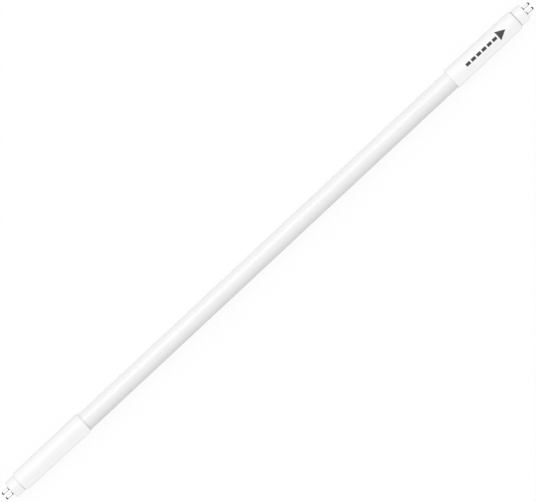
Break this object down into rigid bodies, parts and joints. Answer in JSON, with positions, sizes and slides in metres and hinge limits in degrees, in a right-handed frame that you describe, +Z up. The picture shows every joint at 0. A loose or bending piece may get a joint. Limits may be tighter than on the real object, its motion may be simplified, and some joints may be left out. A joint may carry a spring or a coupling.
{
  "type": "led tube",
  "caption": "Straight frosted glass light tube with a plastic sleeve, stepped collar and contact pins at each end.",
  "frame": {"origin": "on the tube's axis, halfway between the tips of the pins at its two ends", "axes": "+X along the tube towards the end whose sleeve carries the printed mark; +Y across, along the line that joins the two pins of an end; +Z up, away from the light strip's back, the way the chips shine"},
  "size_m": [0.5632, 0.0178, 0.0178],
  "materials": {
    "frosted_glass": "frosted",
    "white_plastic": "satin",
    "nickel_pin": "polished",
    "clear_silicone": "satin",
    "white_board": "matte",
    "green_board": "satin",
    "chip_housing": "matte",
    "phosphor": "matte",
    "black_plastic": "matte",
    "tinned_wire": "satin",
    "ferrite": "matte",
    "copper_wire": "satin",
    "capacitor_sleeve": "gloss",
    "film_case": "satin",
    "varistor_coat": "gloss",
    "resistor_coat": "matte"
  },
  "bodies": {
    "root": {"glass_tube": "frosted_glass", "left_sleeve": "white_plastic", "right_sleeve": "white_plastic", "left_base_collar": "white_plastic", "right_base_collar": "white_plastic", "left_contact_pin_front": "nickel_pin", "left_contact_pin_back": "nickel_pin", "right_contact_pin_front": "nickel_pin", "right_contact_pin_back": "nickel_pin", "left_seal_ring": "clear_silicone", "right_seal_ring": "clear_silicone", "bond_bead": "clear_silicone", "strip_board": "white_board", "led_housings": "chip_housing", "led_phosphor": "phosphor", "left_header_housing": "black_plastic", "right_header_housing": "black_plastic", "left_header_pins": "tinned_wire", "right_header_pins": "tinned_wire", "input_board": "green_board", "choke_core": "ferrite", "choke_winding": "copper_wire", "film_capacitor": "film_case", "bridge_rectifier": "black_plastic", "surge_varistor": "varistor_coat", "fuse_resistor": "resistor_coat", "driver_board": "green_board", "bulk_capacitor": "capacitor_sleeve", "driver_chip": "black_plastic", "sense_resistors": "black_plastic", "inductor_core": "ferrite", "inductor_winding": "copper_wire", "output_diode": "black_plastic"}
  },
  "joints": []
}
